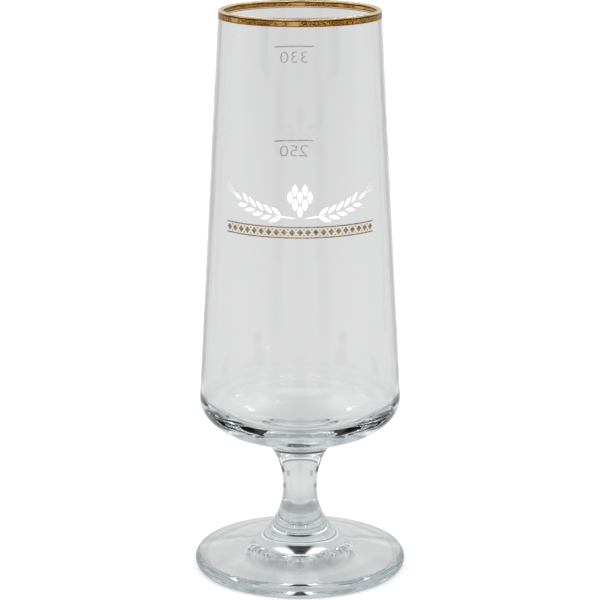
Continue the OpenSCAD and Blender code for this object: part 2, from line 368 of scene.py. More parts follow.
class Wall:
    """The straight stretch between the lip and the shoulder, which carries every print."""

    def __init__(self, scene):
        sizes, gold = scene.beer_glass_sizes, scene.beer_glass_gilding.thickness
        self.lip_round = sizes.wall / 2
        rim_corner = Vector((sizes.rim_width / 2, sizes.height - gold))
        self.lip = rim_corner - self.lip_round * Vector((1, 1))
        self.shoulder = Vector((sizes.bowl_width / 2 - sizes.shoulder_round, sizes.shoulder_height))
        rise = self.lip - self.shoulder
        self.lean = turn_of(rise) - math.acos((sizes.shoulder_round - self.lip_round) / rise.length)
        self.out = direction(self.lean)
        self.down = Vector((self.out.y, -self.out.x))
        self.reach = self.lip.dot(self.out) + self.lip_round

    def radius(self, height):
        """Outside radius of the wall at a height."""
        return (self.reach - height * self.out.y) / self.out.x


def foot_outline(sizes):
    """The foot from the middle of its underside up to the seam."""
    corner = sizes.foot_width / 2 - sizes.edge_bulge
    edge_radius = (sizes.edge_height**2 / 4 + sizes.edge_bulge**2) / (2 * sizes.edge_bulge)
    edge = Vector((sizes.foot_width / 2 - edge_radius, sizes.edge_height / 2))
    rest = corner - sizes.rest_width
    dish_radius = (rest**2 + sizes.dish_depth**2) / (2 * sizes.dish_depth)
    dish = Vector((0, sizes.dish_depth - dish_radius))
    right, up = Vector((1, 0)), Vector((0, 1))
    ring = circle_by_line(
        Vector((0, 0)), right, up, sizes.rest_round,
        dish, dish_radius + sizes.rest_round, Vector((rest, 0)),
    )
    heel = circle_by_line(
        Vector((0, 0)), right, up, sizes.edge_round,
        edge, edge_radius - sizes.edge_round, Vector((corner, 0)),
    )
    slope_up = direction(math.pi / 2 - sizes.foot_slope)
    slope_in = Vector((-slope_up.y, slope_up.x))
    brow = circle_by_line(
        Vector((corner, sizes.edge_height)), slope_in, -slope_up, sizes.edge_round,
        edge, edge_radius - sizes.edge_round, Vector((corner, sizes.edge_height)),
    )
    waist = Vector((sizes.waist_width / 2, sizes.waist_height))
    seam = Vector((sizes.seam_width / 2, sizes.seam_height))
    lower = flare(waist, seam)
    seam_out = direction(math.asin((waist.y - seam.y) / lower))
    over = (seam - Vector((corner, sizes.edge_height))).dot(slope_up)
    fillet_radius = over / (1 - seam_out.dot(slope_up))
    fillet = seam + fillet_radius * seam_out
    fillet_start = fillet - fillet_radius * slope_up
    quarter = math.pi / 2
    ring_turn = turn_of(dish - ring)
    points = arc(dish, dish_radius, quarter, ring_turn + math.pi, FLAT_STEP)
    points += arc(ring, sizes.rest_round, ring_turn, -quarter)
    points += straight(Vector((ring.x, 0)), Vector((heel.x, 0)), ROWS["rest"])
    points += arc(heel, sizes.edge_round, -quarter, turn_of(heel - edge))
    points += arc(edge, edge_radius, turn_of(heel - edge), turn_of(brow - edge))
    points += arc(brow, sizes.edge_round, turn_of(brow - edge), turn_of(slope_up))
    points += straight(brow + sizes.edge_round * slope_up, fillet_start, ROWS["foot"])
    points += arc(fillet, fillet_radius, turn_of(-slope_up), turn_of(-seam_out), FLARE_STEP)
    return points


def flare(waist, end):
    """Radius of the arc that leaves the waist upright and ends at a point."""
    way = end - waist
    return way.dot(way) / (2 * way.x)


def stem_outline(sizes, slope_point, slope_along, slope_out):
    """The stem from the seam up to the underside of the bowl."""
    waist = Vector((sizes.waist_width / 2, sizes.waist_height))
    seam = Vector((sizes.seam_width / 2, sizes.seam_height))
    tall = slope_point - slope_along * (slope_point.x - sizes.stem_top_width / 2) / slope_along.x
    lower, upper = flare(waist, seam), flare(waist, tall)
    lower_centre, upper_centre = waist + Vector((lower, 0)), waist + Vector((upper, 0))
    joint = circle_by_line(
        slope_point, slope_along, slope_out, sizes.joint_round,
        upper_centre, upper - sizes.joint_round, tall,
    )
    joint_turn = turn_of(joint - upper_centre)
    points = arc(lower_centre, lower, turn_of(seam - lower_centre) % math.tau, math.pi, FLARE_STEP)
    points += arc(upper_centre, upper, math.pi, joint_turn % math.tau, FLARE_STEP)
    points += arc(joint, sizes.joint_round, joint_turn % math.tau, turn_of(-slope_out) % math.tau)
    return points


def bowl_outline(sizes, wall):
    """The underside, shoulder, wall, lip and hollow, and what the stem needs of the underside."""
    swap = direction(-sizes.shoulder_turn)
    base = wall.shoulder - (sizes.base_round - sizes.shoulder_round) * swap
    slope_out = Vector((math.sin(sizes.base_slope), -math.cos(sizes.base_slope)))
    slope_along = Vector((-slope_out.y, slope_out.x))
    slope_point = base + sizes.base_round * slope_out
    corner = slope_point - slope_along * (slope_point.x - sizes.stem_top_width / 2) / slope_along.x
    floor = Vector((0, corner.y + sizes.floor + sizes.floor_round))
    inner = circle_by_line(
        wall.lip, wall.down, -wall.out, wall.lip_round + sizes.inner_round,
        floor, sizes.floor_round - sizes.inner_round, wall.shoulder,
    )
    inner_turn = turn_of(inner - floor)
    points = arc(base, sizes.base_round, turn_of(slope_out), -sizes.shoulder_turn)
    points += arc(wall.shoulder, sizes.shoulder_round, -sizes.shoulder_turn, wall.lean)
    points += straight(
        wall.shoulder + sizes.shoulder_round * wall.out,
        wall.lip + wall.lip_round * wall.out,
        ROWS["wall"],
    )
    points += arc(wall.lip, wall.lip_round, wall.lean, wall.lean + math.pi, LIP_STEP)
    points += straight(
        wall.lip - wall.lip_round * wall.out, inner + sizes.inner_round * wall.out, ROWS["wall"]
    )
    points += arc(inner, sizes.inner_round, wall.lean, inner_turn)
    points += arc(floor, sizes.floor_round, inner_turn, -math.pi / 2, FLAT_STEP)
    return points, slope_point, slope_along, slope_out


def tidy(points):
    """The same outline without points on top of each other, and with its ends on the axis."""
    kept = [points[0]]
    for point in points[1:]:
        if (point - kept[-1]).length > 2 * MERGE_DISTANCE:
            kept.append(point)
    for end in (kept[0], kept[-1]):
        if abs(end.x) < MERGE_DISTANCE:
            end.x = 0
    return kept


# Node trees


class Term:
    """An output of a node that arithmetic can be written with. Each step of it adds a Math node."""

    def __init__(self, tree, socket):
        self.tree = tree
        self.socket = socket

    def __add__(self, other):
        return calc(self.tree, "ADD", self, other)

    def __sub__(self, other):
        return calc(self.tree, "SUBTRACT", self, other)

    def __rsub__(self, other):
        return calc(self.tree, "SUBTRACT", other, self)

    def __mul__(self, other):
        return calc(self.tree, "MULTIPLY", self, other)

    def __truediv__(self, other):
        return calc(self.tree, "DIVIDE", self, other)


def feed(tree, socket, value):
    """Links a socket to a term, or sets it to a plain value."""
    if isinstance(value, Term):
        tree.links.new(value.socket, socket)
    else:
        socket.default_value = value


def add(tree, kind, *values, take=0, **named):
    """An output of a new node, as a term. The values go to its first inputs.

    A named value goes to a setting in small letters, or to the input with that name, with _ for a
    space."""
    node = tree.nodes.new(kind)
    for label, value in named.items():
        if label.islower():
            setattr(node, label, value)
    for socket, value in zip(node.inputs, values):
        feed(tree, socket, value)
    for label, value in named.items():
        if not label.islower():
            feed(tree, node.inputs[label.replace("_", " ")], value)
    return Term(tree, node.outputs[take])


def calc(tree, operation, *values):
    """What a Math node makes of some values."""
    return add(tree, "ShaderNodeMath", *values, operation=operation)


def vector(tree, *parts):
    """A vector from its parts."""
    return add(tree, "ShaderNodeCombineXYZ", *parts)


def split(tree, whole):
    """The three parts of a vector."""
    node = add(tree, "ShaderNodeSeparateXYZ", whole).socket.node
    return [Term(tree, part) for part in node.outputs]


def soft_step(tree, value, start, end):
    """0 before start, 1 past end and smooth between them. End may be below start."""
    return add(tree, "ShaderNodeMapRange", value, start, end, interpolation_type="SMOOTHSTEP")


def between(tree, value, low, high, softness):
    """1 where a value lies between two limits, with soft edges."""
    rising = soft_step(tree, value, low - softness, low + softness)
    return rising * soft_step(tree, value, high + softness, high - softness)


def blend(tree, factor, first, second, kind="FLOAT"):
    """A number between two, or a colour if the kind is RGBA."""
    start, end = {"FLOAT": (2, 0), "RGBA": (6, 2)}[kind]
    mix = add(tree, "ShaderNodeMix", factor, take=end, data_type=kind)
    for socket, value in zip(mix.socket.node.inputs[start:], (first, second)):
        feed(tree, socket, value)
    return mix


def numbers(group):
    """Name, kind and attribute of every number in a property group."""
    items = [item for item in group.bl_rna.properties if item.type in ("FLOAT", "INT")]
    return [(item.name, item.type.title(), item.identifier) for item in items]


def tree_with(name, group=None, **inputs):
    """A geometry node tree and its inputs by name: a property group's numbers, and more by kind."""
    tree = bpy.data.node_groups.new(name, "GeometryNodeTree")
    if group:
        inputs.update((label, kind) for label, kind, _ in numbers(group))
    for label, kind in inputs.items():
        tree.interface.new_socket(label, in_out="INPUT", socket_type=f"NodeSocket{kind}")
    tree.interface.new_socket("Geometry", in_out="OUTPUT", socket_type="NodeSocketGeometry")
    source = tree.nodes.new("NodeGroupInput")
    return tree, {socket.name: Term(tree, socket) for socket in source.outputs}


def tree_named(name, make):
    """A node tree made once and used by several pieces."""
    return bpy.data.node_groups.get(name) or make()


def end_tree(tree, geometry):
    """Gives a tree its result."""
    feed(tree, tree.nodes.new("NodeGroupOutput").inputs[0], geometry)
    return tree


def close_tree(tree, geometry, material):
    """Ends a tree in Realize Instances and Set Material."""
    real = add(tree, "GeometryNodeRealizeInstances", geometry)
    return end_tree(tree, add(tree, "GeometryNodeSetMaterial", Geometry=real, Material=material))


def nested(tree, name, make, given, **values):
    """Geometry made by another tree inside this one, with inputs from values or else from given."""
    node = tree.nodes.new("GeometryNodeGroup")
    node.node_tree = tree_named(name, make)
    for socket in node.inputs:
        feed(tree, socket, values[socket.name] if socket.name in values else given[socket.name])
    return Term(tree, node.outputs[0])


def joined(tree, *parts):
    """All parts as one geometry."""
    node = tree.nodes.new("GeometryNodeJoinGeometry")
    for part in reversed(parts):
        feed(tree, node.inputs[0], part)
    return Term(tree, node.outputs[0])


def merged(tree, geometry):
    """Geometry whose points that lie on top of each other are one."""
    return add(tree, "GeometryNodeMergeByDistance", Geometry=geometry, Distance=MERGE_DISTANCE)


def reshaped(tree, geometry, spot):
    """Geometry with its points at new places."""
    return add(tree, "GeometryNodeSetPosition", Geometry=geometry, Position=spot)


def on_circle(tree, radius, turn, height):
    """A place at a radius and a turn round the Z axis."""
    x, y = [radius * calc(tree, operation, turn) for operation in ("COSINE", "SINE")]
    return vector(tree, x, y, height)


def revolve_tree():
    """Turns an outline object round the Z axis into a closed, smooth skin."""
    inputs = {"Outline": "Object", "Segments": "Int", "Material": "Material"}
    tree, given = tree_with("Revolve Outline", **inputs)
    outline = add(tree, "GeometryNodeObjectInfo", Object=given["Outline"], take="Geometry")
    count = add(tree, "GeometryNodeAttributeDomainSize", Geometry=outline, take="Point Count")
    grid = add(tree, "GeometryNodeMeshGrid", Vertices_X=given["Segments"] + 1, Vertices_Y=count)
    index = add(tree, "GeometryNodeInputIndex")
    column = calc(tree, "FLOOR", (index + 0.5) / count)
    point = add(
        tree, "GeometryNodeSampleIndex", data_type="FLOAT_VECTOR", Geometry=outline,
        Value=add(tree, "GeometryNodeInputPosition"), Index=index - column * count,
    )
    radius, _, height = split(tree, point)
    spot = on_circle(tree, radius, column / given["Segments"] * math.tau, height)
    smooth = add(tree, "GeometryNodeSetShadeSmooth", merged(tree, reshaped(tree, grid, spot)))
    return close_tree(tree, smooth, given["Material"])


def bar(tree, long, tall, steps, rows=2):
    """A flat grid along X."""
    return add(
        tree, "GeometryNodeMeshGrid", Size_X=long, Size_Y=tall, Vertices_X=steps, Vertices_Y=rows
    )


def leaf_tree():
    """A flat shape along X that narrows to a point at both ends.

    A fullness of 2 gives the two arcs of a grain, and 1 a lozenge."""
    inputs = {"Length": "Float", "Width": "Float", "Fullness": "Float", "Steps": "Int"}
    tree, given = tree_with("Pointed Leaf", **inputs)
    grid = bar(tree, given["Length"], given["Width"], given["Steps"], rows=3)
    x, y, _ = split(tree, add(tree, "GeometryNodeInputPosition"))
    along = calc(tree, "ABSOLUTE", x * 2.0 / given["Length"])
    slim = 1.0 - calc(tree, "POWER", along, given["Fullness"])
    return end_tree(tree, merged(tree, reshaped(tree, grid, vector(tree, x, y * slim, 0.0))))


def leaf(tree, long, wide, steps, fullness=2.0):
    """A pointed leaf inside a tree."""
    inputs = {"Length": long, "Width": wide, "Fullness": fullness, "Steps": steps}
    return nested(tree, "Pointed Leaf", leaf_tree, inputs)


def print_tree():
    """Wraps a flat print round the wall as a thin closed solid.

    The flat print has x along the wall and y as the height. It is centred on the angle Middle,
    and the wall's radius is Reach at the table and shrinks by Taper with the height."""
    tree, given = tree_with(
        "Print on Wall", Geometry="Geometry", Middle="Float", Reach="Float", Taper="Float",
        Bond="Float", Thickness="Float",
    )
    real = add(tree, "GeometryNodeRealizeInstances", given["Geometry"])
    raised = add(
        tree, "GeometryNodeExtrudeMesh", mode="FACES", Mesh=real, Offset_Scale=given["Thickness"],
        Individual=False,
    )
    solid = merged(tree, joined(tree, raised, add(tree, "GeometryNodeFlipFaces", real)))
    x, y, z = split(tree, add(tree, "GeometryNodeInputPosition"))
    radius = given["Reach"] - y * given["Taper"]
    spot = on_circle(tree, radius - given["Bond"] + z, given["Middle"] + x / radius, y)
    return end_tree(tree, reshaped(tree, solid, spot))


ON_WALL = {"Middle": "Float", "Reach": "Float", "Taper": "Float", "Material": "Material"}


def end_on_wall(tree, given, flat):
    """Wraps a flat print round the wall and ends the tree."""
    wrapped = nested(tree, "Print on Wall", print_tree, given, Geometry=flat)
    return close_tree(tree, wrapped, given["Material"])


def placed(tree, geometry, x, y, turn=0.0):
    """Geometry moved and turned in its own plane."""
    spot, turns = vector(tree, x, y, 0.0), vector(tree, 0.0, 0.0, turn)
    return add(tree, "GeometryNodeTransform", Geometry=geometry, Translation=spot, Rotation=turns)


def strewn(tree, points, shape, turn=0.0):
    """A shape on every point."""
    turns = vector(tree, 0.0, 0.0, turn)
    return add(tree, "GeometryNodeInstanceOnPoints", Points=points, Instance=shape, Rotation=turns)


def row_of_points(tree, count, x=0.0, y=0.0, step=0.0):
    """Evenly spaced points along X."""
    start, offset = vector(tree, x, y, 0.0), vector(tree, step, 0.0, 0.0)
    return add(tree, "GeometryNodeMeshLine", Count=count, Start_Location=start, Offset=offset)


def mark_tree():
    """A fill line with a number under it."""
    tree, given = tree_with("Fill Mark", MarkSizes, Number="Object", Height="Float", **ON_WALL)
    height, stroke = given["Height"], given["Line Stroke"]
    line = bar(tree, given["Line Width"], stroke, STEPS["fill line"])
    number = add(tree, "GeometryNodeObjectInfo", Object=given["Number"], take="Geometry")
    coarse = add(tree, "GeometryNodeTriangulate", number)
    fine = add(tree, "GeometryNodeSubdivideMesh", coarse, FIGURE_CUTS)
    number_height = height - (stroke / 2.0 + given["Number Drop"])
    parts = placed(tree, line, 0.0, height), placed(tree, fine, 0.0, number_height)
    return end_on_wall(tree, given, joined(tree, *parts))


def side_turn(tree, side, turn):
    """A turn for the right side, or its mirror image for the left."""
    return blend(tree, calc(tree, "GREATER_THAN", side, 0.0), math.pi - turn, turn)


def ear_tree():
    """One barley ear: an arc of grain pairs, a tip grain with three bristles and a stalk.

    A side of 1 or -1 puts it right or left of the middle."""
    tree, given = tree_with("Barley Ear", OrnamentSizes, Side="Float")
    side, rise, pairs = given["Side"], given["Ear Rise"], given["Grain Pairs"]
    bend = given["Tip Rise"] - rise
    radius = given["Ear Length"] / bend

    def spot(share_of_ear):
        """Place on the ear's axis and the slope there."""
        slope = rise + bend * share_of_ear
        across = calc(tree, "SINE", slope) - calc(tree, "SINE", rise)
        up = calc(tree, "COSINE", rise) - calc(tree, "COSINE", slope)
        return given["Ear Start"] + radius * across, given["Ear Height"] + radius * up, slope

    x, y, slope = spot((add(tree, "GeometryNodeInputIndex") + 1.0) / (pairs + 1.0))
    grain = leaf(tree, given["Grain Length"], given["Grain Width"], STEPS["grain"])
    awn = leaf(tree, given["Awn Length"], given["Awn Width"], STEPS["awn"])
    awn = placed(tree, awn, given["Awn Reach"], 0.0)
    awns = [placed(tree, awn, 0.0, 0.0, given["Awn Spread"] * way) for way in (-1.0, 0.0, 1.0)]
    stalk = leaf(tree, given["Stalk Length"], given["Stalk Width"], STEPS["stalk"])
    parts = []
    for edge in SIDES:
        off = given["Grain Offset"] * edge
        at_x = side * (x - off * calc(tree, "SINE", slope))
        at_y = y + off * calc(tree, "COSINE", slope)
        points = reshaped(tree, row_of_points(tree, pairs), vector(tree, at_x, at_y, 0.0))
        turn = side_turn(tree, side, slope + given["Grain Splay"] * edge)
        parts.append(strewn(tree, points, grain, turn))
    for shape, at_x, at_y, turn in (
        (joined(tree, grain, *awns), *spot(1.0)),
        (stalk, given["Ear Start"], given["Ear Height"], rise),
    ):
        parts.append(placed(tree, shape, side * at_x, at_y, side_turn(tree, side, turn)))
    return end_tree(tree, joined(tree, *parts))


def cone_tree():
    """A hop cone: rows of upright scales, narrow at the tip and at the top."""
    tree, given = tree_with("Hop Cone", OrnamentSizes)
    shape = leaf(tree, given["Scale Length"], given["Scale Width"], STEPS["scale"])
    rows = []
    for row, count in enumerate(CONE_ROWS):
        left = given["Scale Gap"] * (-(count - 1) / 2)
        height = given["Cone Height"] + given["Scale Rise"] * float(row)
        points = row_of_points(tree, count, left, height, given["Scale Gap"])
        rows.append(strewn(tree, points, shape, math.pi / 2))
    return end_tree(tree, joined(tree, *rows))


def ornament_tree():
    """Two barley ears on either side of a hop cone."""
    tree, given = tree_with("Ears and Cone", OrnamentSizes, **ON_WALL)
    ears = [nested(tree, "Barley Ear", ear_tree, given, Side=side) for side in SIDES]
    cone = nested(tree, "Hop Cone", cone_tree, given)
    return end_on_wall(tree, given, joined(tree, *ears, cone))


def border_tree():
    """Two rules with a row of lozenges between them, and a pair of dots in each gap."""
    tree, given = tree_with("Lozenge Border", BorderSizes, **ON_WALL)
    middle, count = given["Height"], given["Lozenges"]
    pitch = given["Width"] / count
    first = pitch * (count - 1.0) * -0.5
    rule = bar(tree, given["Width"], given["Rule"], STEPS["rule"])
    rule_off = (given["Band"] - given["Rule"]) / 2.0
    lozenge_size = given["Lozenge Width"], given["Lozenge Height"]
    lozenge = leaf(tree, *lozenge_size, STEPS["lozenge"], fullness=1.0)
    dot = leaf(tree, given["Dot"], given["Dot"], STEPS["dot"])
    parts = [placed(tree, rule, 0.0, middle + rule_off * side) for side in SIDES]
    parts.append(strewn(tree, row_of_points(tree, count, first, middle, pitch), lozenge))
    for side in SIDES:
        height = middle + given["Dot Spread"] * side
        gaps = row_of_points(tree, count - 1.0, first + pitch * 0.5, height, pitch)
        parts.append(strewn(tree, gaps, dot))
    return end_on_wall(tree, given, joined(tree, *parts))


# Pieces


def linked(name, data):
    """A new object in the scene."""
    item = bpy.data.objects.new(name, data)
    bpy.context.scene.collection.objects.link(item)
    return item


def grow(name, tree, values):
    """Runs a geometry node tree and keeps its result as a plain mesh at the origin."""
    piece = linked(name, bpy.data.meshes.new(name))
    grower = piece.modifiers.new(tree.name, "NODES")
    grower.node_group = tree
    for item in tree.interface.items_tree:
        if item.in_out == "INPUT":
            grower[item.identifier] = values[item.name]
    depsgraph = bpy.context.evaluated_depsgraph_get()
    mesh = bpy.data.meshes.new_from_object(
        piece.evaluated_get(depsgraph), preserve_all_data_layers=True, depsgraph=depsgraph
    )
    piece.modifiers.remove(grower)
    piece.data = mesh
    mesh.name = name
    if not mesh.polygons:
        raise RuntimeError(f"{name} came out empty")
    return piece


def revolve(name, points, segments, material):
    """A piece that is an outline turned round the axis."""
    mesh = bpy.data.meshes.new(name + "_outline")
    edges = [(i, i + 1) for i in range(len(points) - 1)]
    mesh.from_pydata([(p.x, 0, p.y) for p in points], edges, [])
    helper = linked(name + "_outline", mesh)
    tree = tree_named("Revolve Outline", revolve_tree)
    piece = grow(name, tree, {"Outline": helper, "Segments": segments, "Material": material})
    bpy.data.objects.remove(helper)
    return piece


def print_on_wall(name, tree, sizes, middle, **values):
    """A print grown by its tree and centred on an angle of the wall."""
    wall = Wall(bpy.context.scene)
    values.update(Middle=middle, Reach=wall.reach / wall.out.x, Taper=wall.out.y / wall.out.x)
    values.update((label, getattr(sizes, attribute)) for label, _, attribute in numbers(sizes))
    return grow(name, tree, values)


def number_object(text, height, wide):
    """A hidden helper: plain figures as a flat mesh, centred, with their top at zero."""
    curve = bpy.data.curves.new("number", "FONT")
    curve.body = text
    curve.align_x = "CENTER"
    curve.resolution_u = FIGURE_CURVE_STEPS
    curve.offset = FIGURE_THINNING
    writing = linked("number", curve)
    depsgraph = bpy.context.evaluated_depsgraph_get()
    mesh = bpy.data.meshes.new_from_object(writing.evaluated_get(depsgraph))
    bpy.data.objects.remove(writing)
    heights = [v.co.y for v in mesh.vertices]
    high = max(heights)
    grow_by = height / (high - min(heights))
    for v in mesh.vertices:
        v.co = (v.co.x * grow_by * wide, (v.co.y - high) * grow_by, 0)
    clean = bmesh.new()
    clean.from_mesh(mesh)
    bmesh.ops.remove_doubles(clean, verts=clean.verts, dist=MERGE_DISTANCE)
    folds = [edge for edge in clean.edges if len(edge.link_faces) == 2 and not edge.is_contiguous]
    flaps = [min(edge.link_faces, key=lambda face: face.calc_area()) for edge in folds]
    bmesh.ops.delete(clean, geom=flaps, context="FACES")
    clean.to_mesh(mesh)
    clean.free()
    return linked("number_shape", mesh)


def settle(piece, slot, *nodes):
    """Gives a finished piece its body and hides the CAD nodes it stands for. The slot is not used.
    """
    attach(piece, BODY)
    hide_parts(*nodes)


# Materials


def new_material(name):
    """A node material with a Principled shader and the piece's own coordinates."""
    material = bpy.data.materials.new(name)
    material.use_nodes = True
    tree = material.node_tree
    place = add(tree, "ShaderNodeTexCoord", take="Object")
    return material, tree, tree.nodes["Principled BSDF"], place


def fired_grain():
    """A node group for what firing leaves in gold and enamel: a fine grain and cloudy patches."""
    group = bpy.data.node_groups.get("fired_grain")
    if group:
        return group
    group = bpy.data.node_groups.new("fired_grain", "ShaderNodeTree")
    for label, kind, way in (
        ("Vector", "NodeSocketVector", "INPUT"),
        ("Grain Size", "NodeSocketFloat", "INPUT"),
        ("Patch Size", "NodeSocketFloat", "INPUT"),
        ("Grain", "NodeSocketFloat", "OUTPUT"),
        ("Patch", "NodeSocketFloat", "OUTPUT"),
    ):
        group.interface.new_socket(label, in_out=way, socket_type=kind)
    where, *sizes = [Term(group, socket) for socket in group.nodes.new("NodeGroupInput").outputs]
    targets = group.nodes.new("NodeGroupOutput").inputs
    for target, size, (detail, low, high) in zip(targets, sizes, FIRED_NOISE):
        scale = calc(group, "DIVIDE", 1.0, size)
        noise = add(group, "ShaderNodeTexNoise", Vector=where, Scale=scale, Detail=detail)
        feed(group, target, soft_step(group, noise, low, high))
    return group


def fired(tree, coordinates, grain_size, patch_size):
    """Grain and patch masks on a piece."""
    node = tree.nodes.new("ShaderNodeGroup")
    node.node_tree = fired_grain()
    for socket, value in zip(node.inputs, (coordinates, grain_size, patch_size)):
        feed(tree, socket, value)
    return [Term(tree, socket) for socket in node.outputs]


def finish(tree, shader, tone, grain, rough, depth, strength):
    """Gives a shader its colour, and a roughness and a relief that follow the grain.

    The roughness runs from the grain's gaps to the grain."""
    roughness = add(tree, "ShaderNodeMapRange", grain, To_Min=rough[0], To_Max=rough[1])
    bump = add(tree, "ShaderNodeBump", Height=grain, Distance=depth, Strength=strength)
    for label, value in (("Base Color", tone), ("Roughness", roughness), ("Normal", bump)):
        feed(tree, shader.inputs[label], value)


def clear_glass():
    """Clear glass: slightly wavy, faintly blue where it is thick, worn where it stands."""
    material, tree, shader, coordinates = new_material("clear_glass")
    stretched = add(tree, "ShaderNodeVectorMath", coordinates, RIPPLE_STRETCH, operation="MULTIPLY")
    ripple = fired(tree, stretched, grain_size=9 * MM, patch_size=30 * MM)[0]
    bump = add(tree, "ShaderNodeBump", Height=ripple, Distance=RIPPLE_DEPTH, Strength=1.0)
    wear = soft_step(tree, split(tree, coordinates)[2], *WEAR_HEIGHTS)
    scuff = fired(tree, coordinates, grain_size=0.3 * MM, patch_size=4 * MM)[0]
    for label, value in (
        ("Base Color", WHITE),
        ("Normal", bump),
        ("Roughness", wear * calc(tree, "MULTIPLY_ADD", scuff, *WEAR_ROUGHNESS)),
        ("IOR", 1.5),
        ("Transmission Weight", 1.0),
    ):
        feed(tree, shader.inputs[label], value)
    tint = add(tree, "ShaderNodeVolumeAbsorption", Color=GLASS_TINT, Density=GLASS_TINT_DENSITY)
    feed(tree, tree.nodes["Material Output"].inputs["Volume"], tint)
    return material


def gold(name, dark, bright, worn, grain_size, patch_size, rough, depth, painted_lines=None):
    """Fired gold: a dark and a bright tone in a fine grain, with plainer patches.

    When given, the last argument paints a dark reflection and a highlight, both painted, as lines
    along the edges over that tone."""
    material, tree, shader, coordinates = new_material(name)
    grain, patch = fired(tree, coordinates, grain_size, patch_size)
    tone = blend(tree, grain, (*dark, 1), (*bright, 1), "RGBA")
    tone = blend(tree, soft_step(tree, patch, start=0.5, end=1.0), tone, (*worn, 1), "RGBA")
    # Painted dark reflection and painted highlight along the edges
    if painted_lines:
        tone = painted_lines(tree, coordinates, tone)
    finish(tree, shader, tone, grain, (rough + GOLD_GAP_ROUGHNESS, rough), depth, strength=0.6)
    shader.inputs["Metallic"].default_value = 1.0
    return material


def rim_painted_lines(tree, coordinates, tone):
    """The rim's edges: a painted dark reflection and a painted highlight, as a dark and a bright
    line along the lip and along each lower edge.
    """
    glass = bpy.context.scene.beer_glass_sizes
    gilding = bpy.context.scene.beer_glass_gilding
    across = add(tree, "ShaderNodeVectorMath", coordinates, (1.0, 1.0, 0.0), operation="MULTIPLY")
    radius = add(tree, "ShaderNodeVectorMath", across, operation="LENGTH", take="Value")
    middle = glass.rim_width / 2 - glass.wall / 2
    inside = soft_step(tree, radius, middle + LIP_SOFTNESS, middle - LIP_SOFTNESS)
    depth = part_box("rim_gilding")[1][2] - split(tree, coordinates)[2]
    left = gilding.band - inside * (gilding.band - gilding.band_inside) - depth
    # Painted lines: a dark one for a dark reflection, then a bright one for a highlight, from the
    # lip and from each lower edge
    for measure, ends in zip((depth, left), PAINTED_RIM_LINES):
        for end, softness, painted_colour in zip(ends, PAINTED_RIM_LINE_SOFTNESS, PAINTED_RIM_LINE_COLOURS):
            mask = soft_step(tree, measure, end * MM, (end - softness) * MM)
            tone = blend(tree, mask, tone, painted_colour, "RGBA")
    return tone


def fired_gold():
    """Burnished gold of the rim, with a fine dark grain, and a painted dark reflection and a
    painted highlight along its edges.
    """
    return gold(
        "fired_gold", dark=(0.03, 0.007, 0.0), bright=(0.84, 0.43, 0.09), worn=(0.8, 0.48, 0.17),
        grain_size=0.36 * MM, patch_size=11 * MM, rough=0.16, depth=0.012 * MM, painted_lines=rim_painted_lines,
    )


def printed_gold():
    """Matt gold of the border, flatter than the rim's."""
    return gold(
        "printed_gold", dark=(0.28, 0.17, 0.07), bright=(0.78, 0.54, 0.28), worn=(0.6, 0.42, 0.22),
        grain_size=0.4 * MM, patch_size=5 * MM, rough=0.42, depth=0.005 * MM,
    )


def enamel(name, tone, thin, rough):
    """Fired enamel: nearly even, a little thinner in cloudy patches, with a satin grain."""
    material, tree, shader, coordinates = new_material(name)
    grain, patch = fired(tree, coordinates, grain_size=0.25 * MM, patch_size=6 * MM)
    tone = blend(tree, patch, (*tone, 1), (*thin, 1), "RGBA")
    roughness = rough, rough + ENAMEL_GRAIN_ROUGHNESS
    finish(tree, shader, tone, grain, roughness, depth=0.004 * MM, strength=0.4)
    return material


def white_enamel():
    """Opaque white enamel of the ears and the cone."""
    return enamel("white_enamel", tone=(0.93, 0.93, 0.92), thin=(0.88, 0.885, 0.88), rough=0.3)


def grey_enamel():
    """Thin grey enamel of the fill marks."""
    material = enamel("grey_enamel", tone=(0.92, 0.925, 0.93), thin=(0.94, 0.945, 0.95), rough=0.45)
    material.node_tree.nodes["Principled BSDF"].inputs["Transmission Weight"].default_value = 0.6
    return material


# Stage


def make_camera(sizes):
    """The camera at the photograph's angle."""
    lens = bpy.data.cameras.new("camera")
    lens.lens = sizes.camera_lens
    lens.sensor_width = SENSOR_WIDTH
    lens.clip_start, lens.clip_end = CAMERA_CLIP
    camera = linked("camera", lens)
    camera.location = (0, -sizes.camera_back, sizes.camera_height)
    camera.rotation_euler = (math.pi / 2 - sizes.camera_pitch, 0, 0)
    bpy.context.scene.camera = camera


def painted(tree, parts, place, reach, scale, softness, plain):
    """A plain brightness with parts painted on it, by quarter turn and by a second measure."""
    shade = plain
    x, y = [calc(tree, "ABSOLUTE", part) for part in split(tree, place)[:2]]
    turn = calc(tree, "ARCTAN2", x, y)
    for turn_from, turn_to, reach_from, reach_to, brightness in parts.values():
        turn_edge = min(ROOM_SOFTNESS, (turn_to - turn_from) * EDGE_SHARE)
        reach_edge = min(softness, (reach_to - reach_from) * EDGE_SHARE)
        mask = between(tree, turn, *[v * DEGREE for v in (turn_from, turn_to, turn_edge)])
        mask *= between(tree, reach, *[v * scale for v in (reach_from, reach_to, reach_edge)])
        shade = blend(tree, mask, shade, brightness)
    return shade


def by_ray(tree, factor, others, these):
    """One shader for rays of some kind and another for the rest."""
    return add(tree, "ShaderNodeMixShader", factor, others, these)


